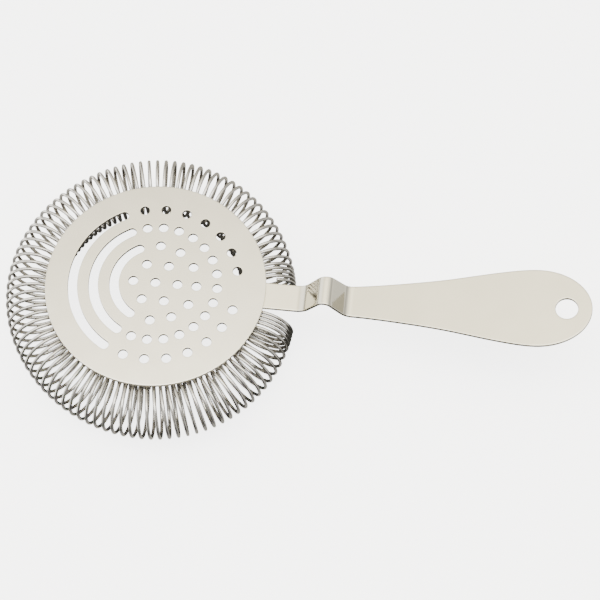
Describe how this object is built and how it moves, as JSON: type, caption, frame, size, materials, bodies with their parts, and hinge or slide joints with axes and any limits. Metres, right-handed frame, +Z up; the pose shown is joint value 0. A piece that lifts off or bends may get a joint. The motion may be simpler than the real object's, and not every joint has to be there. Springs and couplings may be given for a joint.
{
  "type": "hawthorne strainer",
  "caption": "Cocktail strainer: round perforated plate edged by a wire coil spring, with a flat handle that bridges over a shaker's rim.",
  "frame": {"origin": "middle of the strainer plate, on its top face", "axes": "+X out along the handle towards the grip's tip, +Z up, square to the plate and away from the spring, +Y across"},
  "size_m": [0.1998, 0.1049, 0.032],
  "materials": {
    "plate_steel": "fine satin",
    "handle_steel": "satin, brighter on the bends",
    "spring_wire": "bright drawn wire",
    "lug_steel": "satin"
  },
  "bodies": {
    "strainer": {"strainer_plate": "plate_steel", "handle": "handle_steel", "spring_lug_1": "lug_steel", "spring_lug_2": "lug_steel", "spring_lug_3": "lug_steel", "spring_lug_4": "lug_steel", "spring_lug_5": "lug_steel", "spring_lug_6": "lug_steel"},
    "coil": {"coil_spring": "spring_wire"}
  },
  "joints": [
    {"name": "coil_squeeze", "type": "slide", "parent": "strainer", "child": "coil", "axis": [0, 0, 1], "range_m": [0, 0.004], "stiffness_N_per_m": 3000, "deforming": ["coil_spring"]}
  ]
}
